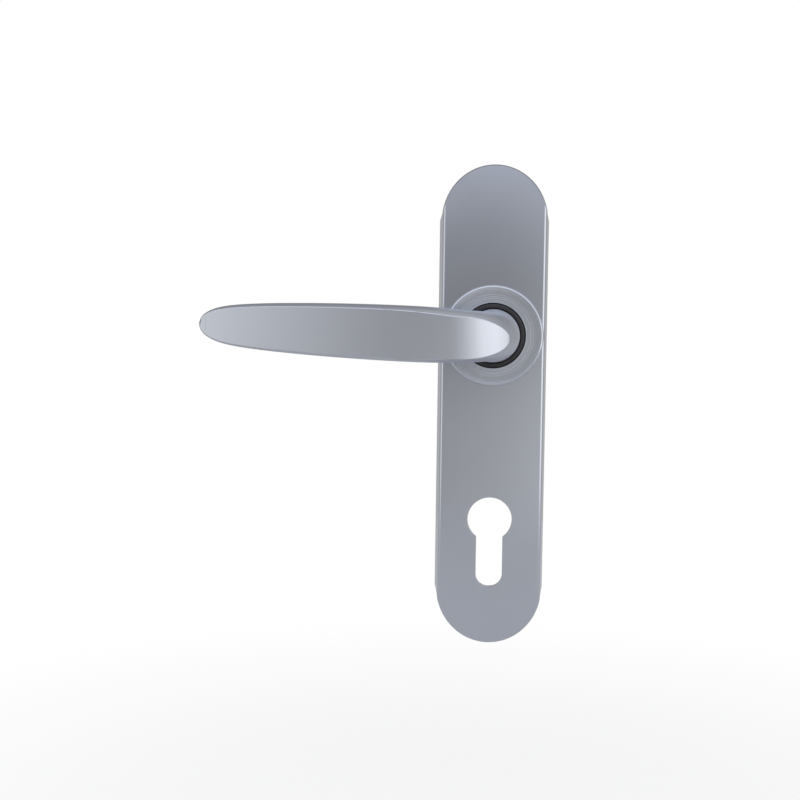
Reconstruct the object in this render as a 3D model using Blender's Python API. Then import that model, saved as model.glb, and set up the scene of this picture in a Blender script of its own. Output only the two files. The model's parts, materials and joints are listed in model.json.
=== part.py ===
"""Lever door handle on a long backplate with a euro-profile cut-out, made of its real pieces.

World frame in metres: X to the right, +Z up, the door face is the plane Y = 0 and the
handle stands out from it towards -Y. The lever points to -X. The lever turns about the
spindle, a line along Y.
"""

import math

import bmesh
import bpy
import numpy as np
from mathutils import Vector

MM = 0.001

# Backplate, mm
PLATE_HEIGHT = 187.0
BASE_HALF = 21.4            # half width where the plate meets the door
FACE_HALF = 20.0            # half width of the flat front
PLATE_DEPTH = 10.0
END_HEIGHT = 21.8           # milled round ends, along the plate
END_HALF = 20.6             # and half their width
END_START = 8.0             # degrees of each arc taken by the shoulder
END_SHOULDER = 2.4          # short run from the round end to the full width
WALL = 2.4
CAVITY_HALF = 17.6
FRAME_GAP = 0.3
FRAME_DEPTH = 7.3
FRAME_CUT_GROWTH = 1.5      # the frame stands back from the cut-out

# Where the lever and the cylinder sit on the plate, mm
LEVER_Z = 27.5
CYLINDER_SPACING = 72.0
CYLINDER_Z = LEVER_Z - CYLINDER_SPACING
CYL_RADIUS = 8.65
SLOT_HALF = 5.15
SLOT_BOTTOM = 26.6          # below the centre of the round part
SLOT_CORNER = 5.0

# Boss round the lever neck, mm
RIM_RADIUS = 19.5
RIM_Y = -13.4
BUSH_HOLE = 12.7
DISH_Y = -12.6
SEAT_RADIUS = 15.0
SEAT_Y = -9.7

# Bush, washers and circlip on the neck, mm
NECK_RADIUS = 10.2
NECK_END_Y = -5.0
RUNNING_RADIUS = 10.5
BUSH_RADIUS = 12.4
BUSH_FLANGE = 14.6
BUSH_FRONT_Y = -13.7
BUSH_FLANGE_Y = -9.4
BUSH_BACK_Y = -8.3
WAVE_Y = (-8.0, -7.5)
WASHER_Y = (-7.2, -6.6)
WASHER_RADIUS = 14.0
GROOVE_Y = (-6.6, -5.3)
GROOVE_RADIUS = 9.3
CIRCLIP_Y = (-6.3, -5.6)
CIRCLIP_RADII = (9.6, 12.0)

# Return spring cassette, mm
CASSETTE_HOLE = 16.4
RING_RADII = (14.2, 16.1)
RING_Y = (-4.9, -0.9)
DRIVER_RADIUS = 12.9
DRIVER_Y = (-4.7, -3.5)
DRIVER_HUB = 6.6
COVER_Y = (-0.6, 0.0)
SPRING_RADIUS = 9.4
SPRING_WIRE = 0.55
SPRING_TURNS = 1.75
TURN_DEG = 40.0             # full swing of the lever

# Lever, mm: distances are along the lever or out from the door
ELBOW_RADIUS = 11.5
ELBOW_SECTION = 8.9         # the neck draws in to this radius before it bends
DRAW_IN = (16.0, 36.0)      # where the neck draws in, out from the door
BAR_OUT = 51.5              # middle of the bar, out from the door at the elbow
FACE_OUT = 56.6             # front of the lever, out from the door
FACE_TILT = 3.0             # the front looks down by this many degrees
TIP_X = -107.0
TIP_RISE = 3.2
# half height of the lever at each distance from its tip
HALF_HEIGHTS = ((0.0, 0.0), (0.5, 2.3), (3.4, 4.95), (9.2, 6.9), (20.8, 8.3),
                (38.3, 9.3), (55.0, 9.83), (73.0, 10.06), (84.4, 9.93), (95.5, 9.4))
SQUARE = 8.0                # spindle across flats
SQUARE_HOLE = 8.6
SQUARE_DEPTH = 31.0
SPINDLE_Y = (-29.5, 45.0)
GRUB_Y = -19.0

# Fixings, mm
POST_ZS = (78.0, -81.5)
POST_RADIUS = 4.0
POST_Y = (-4.2, 9.0)
POST_HEAD = 5.6
SCREW_PLACES = ((-11.5, 60.0), (11.5, 60.0), (-11.5, -22.0), (11.5, -22.0))
SCREW_SHANK = 1.3
SCREW_HEAD = 2.7
PILLAR_RADIUS = 3.2
# hollows in the back of the frame, one on each side: x from, x to, z from, z to
POCKETS = ((1.4, 6.6, 46.5, 69.5), (1.4, 7.4, -15.5, -3.2), (9.0, 14.6, -15.5, -3.2),
           (1.4, 7.4, 3.2, 8.5), (9.0, 14.6, -1.6, 12.5))


def clear_file():
    """Remove every object and mesh already in the file."""
    for ob in list(bpy.data.objects):
        bpy.data.objects.remove(ob, do_unlink=True)
    for me in list(bpy.data.meshes):
        bpy.data.meshes.remove(me)


def material(name, colour, metallic, roughness):
    """A plain Principled material of one colour."""
    mat = bpy.data.materials.new(name)
    mat.use_nodes = True
    shader = next(n for n in mat.node_tree.nodes if n.type == "BSDF_PRINCIPLED")
    shader.inputs["Base Color"].default_value = (*colour, 1.0)
    shader.inputs["Metallic"].default_value = metallic
    shader.inputs["Roughness"].default_value = roughness
    mat.diffuse_color = (*colour, 1.0)
    return mat


def new_object(name, bm, origin=(0.0, 0.0, 0.0)):
    """Turn a mesh in mm into a named object in metres with its origin at a point in mm."""
    bmesh.ops.recalc_face_normals(bm, faces=bm.faces)
    place = Vector(origin)
    bmesh.ops.translate(bm, verts=bm.verts, vec=-place)
    bmesh.ops.scale(bm, verts=bm.verts, vec=(MM, MM, MM))
    mesh = bpy.data.meshes.new(name)
    bm.to_mesh(mesh)
    bm.free()
    ob = bpy.data.objects.new(name, mesh)
    ob.location = place * MM
    bpy.context.scene.collection.objects.link(ob)
    return ob


def ring_of(bm, points):
    """Add a loop of vertices."""
    return [bm.verts.new(p) for p in points]


def join_rings(bm, low, high):
    """Quads between two loops of the same length."""
    count = len(low)
    for i in range(count):
        j = (i + 1) % count
        bm.faces.new((low[i], low[j], high[j], high[i]))


def prism(outline, y0, y1):
    """A straight solid of an outline in X and Z, between two Y planes."""
    bm = bmesh.new()
    low = ring_of(bm, [(x, y0, z) for x, z in outline])
    high = ring_of(bm, [(x, y1, z) for x, z in outline])
    bm.faces.new(low)
    bm.faces.new(list(reversed(high)))
    join_rings(bm, low, high)
    return bm


def bar_along_z(section, half):
    """A straight bar of one section in X and Y, along Z."""
    bm = bmesh.new()
    low = ring_of(bm, [(x, y, -half) for x, y in section])
    high = ring_of(bm, [(x, y, half) for x, y in section])
    bm.faces.new(low)
    bm.faces.new(list(reversed(high)))
    join_rings(bm, low, high)
    return bm


def revolve(profile, centre, segments):
    """A solid of revolution about a line along Y. The profile is a closed loop of (radius, y)."""
    bm = bmesh.new()
    cx, cz = centre
    rings = []
    for radius, y in profile:
        if radius < 1e-6:
            rings.append([bm.verts.new((cx, y, cz))])
            continue
        angles = [2 * math.pi * i / segments for i in range(segments)]
        rings.append(ring_of(bm, [(cx + radius * math.cos(a), y, cz + radius * math.sin(a))
                                  for a in angles]))
    pairs = list(zip(rings, rings[1:] + rings[:1]))
    for low, high in pairs:
        if len(low) == 1 and len(high) == 1:
            continue
        if len(low) == 1 or len(high) == 1:
            tip = low if len(low) == 1 else high
            loop = high if len(low) == 1 else low
            for i in range(segments):
                bm.faces.new((tip[0], loop[i], loop[(i + 1) % segments]))
            continue
        join_rings(bm, low, high)
    return bm


def round_points(cx, cz, radius, start, end, count):
    """Points along an arc in X and Z, angles in degrees."""
    return [(cx + radius * math.cos(math.radians(a)), cz + radius * math.sin(math.radians(a)))
            for a in np.linspace(start, end, count)]


def rod(cx, cz, radius, y0, y1, segments=24):
    """A round bar along Y."""
    step = 360.0 / segments
    return prism(round_points(cx, cz, radius, 0.0, 360.0 - step, segments), y0, y1)


def box(x0, x1, y0, y1, z0, z1):
    """A plain block."""
    return prism([(x0, z0), (x1, z0), (x1, z1), (x0, z1)], y0, y1)


def plate_outline(half, steps=24):
    """Long plate with round ends: a short shoulder joins each arc to the straight sides."""
    middle = PLATE_HEIGHT / 2 - END_HEIGHT
    first = math.radians(END_START)
    shoulder = middle + END_HEIGHT * math.sin(first) - END_SHOULDER
    end = [(END_HALF * math.cos(a), middle + END_HEIGHT * math.sin(a))
           for a in np.linspace(first, math.pi - first, steps)]
    points = [(half, -shoulder), (half, shoulder)] + end
    points += [(-half, shoulder), (-half, -shoulder)]
    points += [(-x, -z) for x, z in end]
    return points


def stadium(half, inset, steps=20):
    """Long outline whose sides run straight into its round ends."""
    radius = half
    middle = PLATE_HEIGHT / 2 - inset - radius
    points = round_points(0.0, middle, radius, 0.0, 180.0, steps)
    points += round_points(0.0, -middle, radius, 180.0, 360.0, steps)
    return points


def euro_outline(grow, steps=30):
    """Cylinder cut-out: a round part with a slot hanging from it."""
    radius = CYL_RADIUS + grow
    half = SLOT_HALF + grow
    corner = SLOT_CORNER + grow
    bottom = CYLINDER_Z - SLOT_BOTTOM - grow
    meet = math.degrees(math.asin(half / radius))
    points = round_points(0.0, CYLINDER_Z, radius, -90.0 + meet, 270.0 - meet, steps)
    points += round_points(-half + corner, bottom + corner, corner, 180.0, 270.0, 7)
    points += round_points(half - corner, bottom + corner, corner, 270.0, 360.0, 7)
    return points


def combine(name, first, steps, origin=(0.0, 0.0, 0.0)):
    """Exact booleans in order: each step is the operation and the solid it uses."""
    ob = new_object(name, first, origin)
    for i, (operation, bm) in enumerate(steps):
        tool = new_object(f"{name}_cutter_{i}", bm)
        tool.hide_render = True
        tool.display_type = "WIRE"
        mod = ob.modifiers.new("cut", "BOOLEAN")
        mod.operation = operation
        mod.solver = "EXACT"
        mod.object = tool
        graph = bpy.context.evaluated_depsgraph_get()
        made = bpy.data.meshes.new_from_object(ob.evaluated_get(graph))
        old = ob.data
        ob.modifiers.clear()
        ob.data = made
        bpy.data.meshes.remove(old)
        used = tool.data
        bpy.data.objects.remove(tool, do_unlink=True)
        bpy.data.meshes.remove(used)
    tidy(ob)
    return ob


def take_off(solids):
    """Boolean steps that cut each solid away."""
    return [("DIFFERENCE", bm) for bm in solids]


def tidy(ob):
    """Weld stray doubles, drop slivers and triangulate."""
    bm = bmesh.new()
    bm.from_mesh(ob.data)
    bmesh.ops.remove_doubles(bm, verts=bm.verts, dist=0.00001)
    bmesh.ops.dissolve_degenerate(bm, edges=bm.edges, dist=0.000005)
    bmesh.ops.triangulate(bm, faces=bm.faces)
    bmesh.ops.recalc_face_normals(bm, faces=bm.faces)
    bm.to_mesh(ob.data)
    bm.free()
    ob.data.update()


def finish(ob, mat, smooth=True):
    """Give an object its material and its shading."""
    ob.data.materials.clear()
    ob.data.materials.append(mat)
    if smooth:
        ob.data.shade_smooth()
        ob.data.set_sharp_from_angle(angle=math.radians(28))
    return ob


def through(stations, at):
    """A smooth value at a distance, through hand-set stations, eased by the root of distance."""
    keys = [math.sqrt(s) for s, _ in stations]
    values = [v for _, v in stations]
    x = math.sqrt(max(at, 0.0))
    if x >= keys[-1]:
        return values[-1]
    i = max(k for k in range(len(keys) - 1) if keys[k] <= x)
    slopes = []
    for k in (i, i + 1):
        a = max(k - 1, 0)
        b = min(k + 1, len(keys) - 1)
        slopes.append((values[b] - values[a]) / (keys[b] - keys[a]))
    span = keys[i + 1] - keys[i]
    t = (x - keys[i]) / span
    return ((2 * t ** 3 - 3 * t ** 2 + 1) * values[i] + (t ** 3 - 2 * t ** 2 + t) * span * slopes[0]
            + (3 * t ** 2 - 2 * t ** 3) * values[i + 1] + (t ** 3 - t ** 2) * span * slopes[1])


def face_out(x):
    """How far the flat front of the lever stands out from the door."""
    if x < -20.0:
        return FACE_OUT - 0.0007 * (x + 20.0) ** 2
    return FACE_OUT - 5.2 * ((x + 20.0) / 25.4) ** 3.5


def lever_sections():
    """(x, out, angle, half height, outer half depth, inner half depth, rise) along the lever."""
    sections = []
    bend_out = BAR_OUT - ELBOW_RADIUS
    neck = [(-NECK_END_Y, NECK_RADIUS), (-GROOVE_Y[1], NECK_RADIUS),
            (-GROOVE_Y[1], GROOVE_RADIUS), (-GROOVE_Y[0], GROOVE_RADIUS),
            (-GROOVE_Y[0], NECK_RADIUS), (DRAW_IN[0], NECK_RADIUS)]
    for share in (0.2, 0.4, 0.6, 0.8, 1.0):
        out = DRAW_IN[0] + (DRAW_IN[1] - DRAW_IN[0]) * share
        ease = share * share * (3.0 - 2.0 * share)
        neck.append((out, NECK_RADIUS + (ELBOW_SECTION - NECK_RADIUS) * ease))
    neck.append((bend_out, ELBOW_SECTION))
    for out, radius in neck:
        sections.append((0.0, out, 0.0, radius, radius, radius, 0.0))
    start_half = through(HALF_HEIGHTS, -ELBOW_RADIUS - TIP_X)
    for degrees in range(9, 90, 9):
        a = math.radians(degrees)
        x = -ELBOW_RADIUS + ELBOW_RADIUS * math.cos(a)
        out = bend_out + ELBOW_RADIUS * math.sin(a)
        half = ELBOW_SECTION + (start_half - ELBOW_SECTION) * (degrees / 90.0) ** 2
        sections.append((x, out, a, half, ELBOW_SECTION, ELBOW_SECTION, 0.0))
    reach = -ELBOW_RADIUS - TIP_X
    for share in (0.0, 0.06, 0.13, 0.22, 0.32, 0.42, 0.52, 0.61, 0.69, 0.76, 0.82, 0.87,
                  0.905, 0.935, 0.957, 0.973, 0.984, 0.992, 0.997):
        x = -ELBOW_RADIUS - reach * share
        half = through(HALF_HEIGHTS, x - TIP_X)
        blend = min(share / 0.3, 1.0)
        blend = blend * blend * (3.0 - 2.0 * blend)
        outer = ELBOW_SECTION * (1.0 - blend) + 0.94 * half * blend
        inner = ELBOW_SECTION * (1.0 - blend) + 0.78 * half * blend
        sit = face_out(x) - (0.56 - 0.09 * share) * outer
        out = BAR_OUT * (1.0 - blend) + sit * blend
        sections.append((x, out, math.pi / 2, half, outer, inner, TIP_RISE * share))
    return sections


def lever_body(points=32):
    """The whole lever as one lofted solid before it is cut."""
    bm = bmesh.new()
    rings = []
    for x, out, angle, half, outer, inner, rise in lever_sections():
        loop = []
        for i in range(points):
            a = 2 * math.pi * i / points
            side = math.cos(a) * (outer if math.cos(a) > 0 else inner)
            loop.append((x + side * math.cos(angle), -(out + side * math.sin(angle)),
                         LEVER_Z + rise + half * math.sin(a)))
        rings.append(ring_of(bm, loop))
    for low, high in zip(rings, rings[1:]):
        join_rings(bm, low, high)
    bm.faces.new(rings[0])
    bm.faces.new(list(reversed(rings[-1])))
    return bm


def face_cutter():
    """Everything in front of the lever's front face."""
    xs = list(np.linspace(-118.0, -20.0, 15)) + list(np.linspace(-16.0, 16.0, 13))
    outline = [(x, -face_out(x)) for x in xs]
    outline = [(-118.0, -90.0)] + outline + [(16.0, -90.0)]
    bm = bmesh.new()
    lean = 25.0 * math.tan(math.radians(FACE_TILT))
    low = ring_of(bm, [(x, y + lean, LEVER_Z - 25.0) for x, y in outline])
    high = ring_of(bm, [(x, y - lean, LEVER_Z + 25.0) for x, y in outline])
    bm.faces.new(low)
    bm.faces.new(list(reversed(high)))
    join_rings(bm, low, high)
    return bm


def vertical_rod(x, y, radius, z0, z1, segments=20):
    """A round bar along Z."""
    bm = bmesh.new()
    angles = [2 * math.pi * i / segments for i in range(segments)]
    low = ring_of(bm, [(x + radius * math.cos(a), y + radius * math.sin(a), z0) for a in angles])
    high = ring_of(bm, [(x + radius * math.cos(a), y + radius * math.sin(a), z1) for a in angles])
    bm.faces.new(low)
    bm.faces.new(list(reversed(high)))
    join_rings(bm, low, high)
    return bm


def square(half, y0, y1):
    """A square bar along the lever axis."""
    return box(-half, half, y0, y1, LEVER_Z - half, LEVER_Z + half)


def polar(radius, degrees):
    """A point round the lever axis."""
    a = math.radians(degrees)
    return radius * math.cos(a), LEVER_Z + radius * math.sin(a)


def sector(r0, r1, start, end, y0, y1, steps=5):
    """A block between two radii and two angles round the lever axis."""
    points = round_points(0.0, LEVER_Z, r1, start, end, steps)
    points += round_points(0.0, LEVER_Z, r0, end, start, steps)
    return prism(points, y0, y1)


def tube(points, radius, sides=8):
    """A bent wire through a line of points, with flat ends."""
    bm = bmesh.new()
    rings = []
    count = len(points)
    side = None
    for i, point in enumerate(points):
        ahead = points[min(i + 1, count - 1)] - points[max(i - 1, 0)]
        ahead.normalize()
        if side is None:
            side = ahead.cross(Vector((0.0, 1.0, 0.0))).normalized()
        side = (side - ahead * side.dot(ahead)).normalized()
        up = ahead.cross(side)
        loop = []
        for k in range(sides):
            a = 2 * math.pi * k / sides
            loop.append(point + side * (radius * math.cos(a)) + up * (radius * math.sin(a)))
        rings.append(ring_of(bm, loop))
    for low, high in zip(rings, rings[1:]):
        join_rings(bm, low, high)
    bm.faces.new(rings[0])
    bm.faces.new(list(reversed(rings[-1])))
    return bm


def make_face_plate(mat):
    """Aluminium cover: tapered long sides, square milled ends, raised dished boss, cut-out."""
    half = PLATE_HEIGHT / 2 + 1.0
    section = [(-BASE_HALF, 0.0), (BASE_HALF, 0.0), (FACE_HALF, -PLATE_DEPTH),
               (-FACE_HALF, -PLATE_DEPTH)]
    body = bar_along_z(section, half)
    front = [(FACE_HALF, -PLATE_DEPTH - 20.0), (-FACE_HALF, -PLATE_DEPTH - 20.0)]
    sides = bar_along_z([(-BASE_HALF, 0.5), (BASE_HALF, 0.5)] + section[1:3] + front
                        + [section[3], section[0]], half + 1.0)

    boss = [(0.0, -7.0), (RIM_RADIUS, -7.0), (RIM_RADIUS, RIM_Y + 0.7),
            (RIM_RADIUS - 0.2, RIM_Y + 0.2), (RIM_RADIUS - 0.7, RIM_Y),
            (RIM_RADIUS - 1.0, RIM_Y + 0.05), (RIM_RADIUS - 2.4, RIM_Y + 0.5),
            (BUSH_HOLE - 1.0, DISH_Y), (0.0, DISH_Y)]
    hub = revolve(boss, (0.0, LEVER_Z), 64)

    cavity = prism(stadium(CAVITY_HALF, WALL + 0.5), 1.0, -PLATE_DEPTH + WALL)
    outline = prism(plate_outline(BASE_HALF + 0.02), 0.5, -30.0)
    seat = rod(0.0, LEVER_Z, SEAT_RADIUS, 0.0, SEAT_Y, 48)
    hole = rod(0.0, LEVER_Z, BUSH_HOLE, 0.0, -30.0, 48)
    euro = prism(euro_outline(0.0), 1.0, -30.0)
    steps = [("UNION", hub), ("INTERSECT", outline), ("INTERSECT", sides),
             ("DIFFERENCE", cavity),
             ("DIFFERENCE", seat), ("DIFFERENCE", hole), ("DIFFERENCE", euro)]
    for x, z in SCREW_PLACES:
        pillar = revolve([(SCREW_SHANK + 0.4, -3.3), (PILLAR_RADIUS, -3.3),
                          (PILLAR_RADIUS, -PLATE_DEPTH + WALL - 0.6),
                          (SCREW_SHANK + 0.4, -PLATE_DEPTH + WALL - 0.6)], (x, z), 20)
        steps.append(("UNION", pillar))
    return finish(combine("face_plate", body, steps), mat)


def make_back_frame(mat):
    """Nylon underplate that fills the cover and lies flat on the door."""
    body = prism(stadium(CAVITY_HALF - FRAME_GAP, WALL + 0.5 + FRAME_GAP), 0.0, -FRAME_DEPTH)
    cuts = [rod(0.0, LEVER_Z, CASSETTE_HOLE, 1.0, -20.0, 48),
            prism(euro_outline(FRAME_CUT_GROWTH), 1.0, -20.0)]
    for x0, x1, z0, z1 in POCKETS:
        cuts.append(box(x0, x1, -5.2, 1.0, z0, z1))
        cuts.append(box(-x1, -x0, -5.2, 1.0, z0, z1))
    for z in POST_ZS:
        cuts.append(rod(0.0, z, POST_RADIUS + 0.3, 1.0, -20.0))
        cuts.append(rod(0.0, z, POST_HEAD + 0.3, -1.8, -20.0))
    for x, z in SCREW_PLACES:
        cuts.append(rod(x, z, PILLAR_RADIUS + 0.3, -3.0, -20.0))
        cuts.append(rod(x, z, SCREW_SHANK + 0.3, 1.0, -20.0, 20))
        cuts.append(rod(x, z, SCREW_HEAD + 0.3, 1.0, -1.6, 20))
    return finish(combine("back_frame", body, take_off(cuts)), mat)


def make_hub_pieces(nylon, steel, zinc, dark):
    """Bush, washer, circlip and spring cassette round the lever axis."""
    centre = (0.0, LEVER_Z)
    bush = [(RUNNING_RADIUS, BUSH_BACK_Y), (BUSH_FLANGE, BUSH_BACK_Y),
            (BUSH_FLANGE, BUSH_FLANGE_Y), (BUSH_RADIUS, BUSH_FLANGE_Y),
            (BUSH_RADIUS, BUSH_FRONT_Y + 1.4), (BUSH_RADIUS - 0.35, BUSH_FRONT_Y + 0.45),
            (BUSH_RADIUS - 0.95, BUSH_FRONT_Y), (RUNNING_RADIUS + 0.4, BUSH_FRONT_Y + 0.2),
            (RUNNING_RADIUS, BUSH_FRONT_Y + 0.7)]
    finish(new_object("guide_bush", revolve(bush, centre, 48)), nylon)

    washer = [(RUNNING_RADIUS, WASHER_Y[0]), (WASHER_RADIUS, WASHER_Y[0]),
              (WASHER_RADIUS, WASHER_Y[1]), (RUNNING_RADIUS, WASHER_Y[1])]
    finish(new_object("thrust_washer", revolve(washer, centre, 40)), steel)
    wave = [(RUNNING_RADIUS, WAVE_Y[0]), (WASHER_RADIUS - 0.6, WAVE_Y[0]),
            (WASHER_RADIUS - 0.6, WAVE_Y[1]), (RUNNING_RADIUS, WAVE_Y[1])]
    finish(new_object("wave_washer", revolve(wave, centre, 40)), dark)

    inner, outer = CIRCLIP_RADII
    outline = round_points(0.0, LEVER_Z, outer, -75.0, 255.0, 34)
    outline += round_points(0.0, LEVER_Z, inner, 255.0, -75.0, 34)
    clip = prism(outline, *CIRCLIP_Y)
    finish(new_object("circlip", clip, (0.0, 0.0, LEVER_Z)), dark)

    ring = revolve([(RING_RADII[0], RING_Y[0]), (RING_RADII[1], RING_Y[0]),
                    (RING_RADII[1], RING_Y[1]), (RING_RADII[0], RING_Y[1])], centre, 48)
    gap = 1.2
    stops = [sector(DRIVER_RADIUS + 0.3, RING_RADII[0] + 0.6, start, start + 17.0,
                    RING_Y[0] + 0.1, RING_Y[1] - 0.1)
             for start in (80.0 - gap - 17.0, 100.0 + TURN_DEG + gap)]
    finish(combine("cassette_ring", ring, [("UNION", stop) for stop in stops]), zinc)

    cover = rod(0.0, LEVER_Z, RING_RADII[1], *COVER_Y, 48)
    hole = rod(0.0, LEVER_Z, DRIVER_HUB + 0.6, 1.0, -2.0, 32)
    finish(combine("cassette_cover", cover, take_off([hole])), steel)

    x, z = polar(12.2, 205.0)
    finish(new_object("spring_pin", rod(x, z, 0.9, -3.4, -0.9, 16)), steel)


def make_driver(mat):
    """Disc on the square spindle whose lug takes the spring and meets the stops."""
    disc = rod(0.0, LEVER_Z, DRIVER_RADIUS, *DRIVER_Y, 48)
    hub = rod(0.0, LEVER_Z, DRIVER_HUB, DRIVER_Y[0] + 0.2, -0.9, 32)
    lug = sector(DRIVER_RADIUS - 0.6, RING_RADII[0] - 0.3, 80.0, 100.0,
                 DRIVER_Y[0] + 0.1, DRIVER_Y[1] - 0.1)
    finger = sector(10.9, DRIVER_RADIUS - 0.1, 84.0, 96.0, DRIVER_Y[1] - 0.4, -1.2)
    hole = square(SQUARE_HOLE / 2, 1.0, -20.0)
    steps = [("UNION", hub), ("UNION", lug), ("UNION", finger), ("DIFFERENCE", hole)]
    ob = combine("driver_disc", disc, steps, origin=(0.0, 0.0, LEVER_Z))
    return finish(ob, mat)


def make_spring(mat):
    """Torsion spring: coils round the driver hub, one leg on the pin, one on the finger."""
    points = []
    start = 205.0 - 6.0
    end = 96.0 + 6.0
    sweep = (start - end) + 360.0
    first = Vector((*polar(13.3, start), 0.0))
    last = Vector((*polar(12.9, end), 0.0))
    y0 = -1.75
    y1 = -2.95
    points.append(Vector((first.x, y0, first.y)))
    for i in range(34):
        share = i / 33
        x, z = polar(SPRING_RADIUS, start - 8.0 - (sweep - 16.0) * share)
        points.append(Vector((x, y0 + (y1 - y0) * share, z)))
    points.append(Vector((last.x, y1, last.y)))
    return finish(new_object("return_spring", tube(points, SPRING_WIRE)), mat)


def make_lever(mat):
    """The lever: round neck, elbow and leaf-shaped bar with a crisp flat front."""
    cuts = [face_cutter(), square(SQUARE_HOLE / 2, 0.0, -SQUARE_DEPTH),
            vertical_rod(0.0, GRUB_Y, 3.3, LEVER_Z - 14.0, LEVER_Z)]
    ob = combine("lever_handle", lever_body(), take_off(cuts), origin=(0.0, 0.0, LEVER_Z))
    return finish(ob, mat)


def make_spindle_and_grub(steel, dark):
    """Square spindle and the screw that grips it."""
    bar = square(SQUARE / 2, *SPINDLE_Y)
    bmesh.ops.bevel(bar, geom=[e for e in bar.edges if
                               abs(e.verts[0].co.y - e.verts[1].co.y) > 1.0],
                    offset=0.5, segments=1, affect="EDGES")
    finish(new_object("spindle", bar, (0.0, 0.0, LEVER_Z)), steel, smooth=False)

    top = LEVER_Z - SQUARE / 2 - 0.3
    body = vertical_rod(0.0, GRUB_Y, 3.0, top - 5.0, top)
    socket = vertical_rod(0.0, GRUB_Y, 1.7, top - 6.0, top - 2.4, 6)
    ob = combine("grub_screw", body, take_off([socket]), origin=(0.0, 0.0, LEVER_Z))
    finish(ob, dark)


def make_fixings(steel):
    """Threaded posts into the door and the screws that hold the frame in the cover."""
    for name, z in zip(("upper_post", "lower_post"), POST_ZS):
        profile = [(0.0, POST_Y[0]), (POST_HEAD, POST_Y[0]), (POST_HEAD, -2.1),
                   (POST_RADIUS, -2.1), (POST_RADIUS, POST_Y[1] - 0.4),
                   (POST_RADIUS - 0.4, POST_Y[1]), (2.1, POST_Y[1]), (2.1, -1.0), (0.0, -1.0)]
        finish(new_object(name, revolve(profile, (0.0, z), 28)), steel)
    for number, (x, z) in enumerate(SCREW_PLACES, start=1):
        head = revolve([(0.0, -0.2), (SCREW_HEAD, -0.2), (SCREW_HEAD, -1.3), (SCREW_SHANK, -1.3),
                        (SCREW_SHANK, -6.5), (0.7, -7.1), (0.0, -7.1)], (x, z), 18)
        slots = [box(x - 1.5, x + 1.5, 0.5, -0.8, z - 0.3, z + 0.3),
                 box(x - 0.3, x + 0.3, 0.5, -0.8, z - 1.5, z + 1.5)]
        finish(combine(f"frame_screw_{number}", head, take_off(slots)), steel)


def main():
    """Make every piece."""
    clear_file()
    cover = material("satin_aluminium_plate", (0.60, 0.61, 0.63), 1.0, 0.32)
    grip = material("satin_aluminium_lever", (0.62, 0.63, 0.65), 1.0, 0.30)
    nylon = material("black_nylon", (0.015, 0.015, 0.016), 0.0, 0.45)
    frame = material("grey_nylon", (0.12, 0.12, 0.125), 0.0, 0.5)
    steel = material("zinc_plated_steel", (0.55, 0.55, 0.53), 1.0, 0.35)
    zinc = material("cast_zinc", (0.42, 0.42, 0.43), 1.0, 0.5)
    dark = material("blackened_steel", (0.06, 0.06, 0.065), 1.0, 0.4)
    make_face_plate(cover)
    make_back_frame(frame)
    make_hub_pieces(nylon, steel, zinc, dark)
    make_driver(zinc)
    make_spring(steel)
    make_lever(grip)
    make_spindle_and_grub(steel, dark)
    make_fixings(steel)


main()
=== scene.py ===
"""Lever door handle on a long backplate: detailed pieces, finishes, studio and camera."""

import json
import math

import bmesh
import bpy
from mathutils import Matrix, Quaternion, Vector


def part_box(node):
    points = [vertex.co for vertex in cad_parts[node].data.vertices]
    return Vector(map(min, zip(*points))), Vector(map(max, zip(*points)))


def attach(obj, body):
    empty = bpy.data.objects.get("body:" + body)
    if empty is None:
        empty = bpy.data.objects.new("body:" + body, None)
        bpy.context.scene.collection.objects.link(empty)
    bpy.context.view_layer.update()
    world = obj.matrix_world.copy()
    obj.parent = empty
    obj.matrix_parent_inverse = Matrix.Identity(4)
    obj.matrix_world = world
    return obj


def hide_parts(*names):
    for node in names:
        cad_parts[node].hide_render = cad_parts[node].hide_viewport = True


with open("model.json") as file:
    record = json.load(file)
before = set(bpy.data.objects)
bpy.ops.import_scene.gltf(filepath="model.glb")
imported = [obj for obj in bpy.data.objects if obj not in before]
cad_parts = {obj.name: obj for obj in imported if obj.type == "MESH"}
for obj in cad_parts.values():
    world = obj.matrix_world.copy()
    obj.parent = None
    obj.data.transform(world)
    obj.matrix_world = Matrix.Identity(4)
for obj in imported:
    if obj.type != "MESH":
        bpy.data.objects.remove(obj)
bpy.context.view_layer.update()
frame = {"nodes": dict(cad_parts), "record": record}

bl_info = {
    "name": "Lever Door Handle",
    "version": (1, 0, 0),
    "blender": (4, 5, 0),
    "location": "View3D > Sidebar > Door Handle",
    "description": "Builds a satin lever handle on a long backplate, with its studio",
    "category": "Add Mesh",
}

MM = 0.001
PLATE_LOW, PLATE_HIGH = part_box("face_plate")
BUSH_LOW, BUSH_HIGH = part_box("guide_bush")
LEVER_LOW, LEVER_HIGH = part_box("lever_handle")
TURN = next(j for j in frame["record"]["behaviour"]["joints"] if j["name"] == "lever_turn")
AXIS_Z = TURN["pos_m"][2]


# ---------------------------------------------------------------- settings


def length(name, description, default):
    """A length property."""
    return bpy.props.FloatProperty(name=name, description=description, default=default,
                                   min=0.0, precision=5, unit="LENGTH", subtype="DISTANCE")


def colour(name, description, default):
    """A colour property."""
    return bpy.props.FloatVectorProperty(name=name, description=description, default=default,
                                         size=3, min=0.0, max=1.0, subtype="COLOR")


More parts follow.
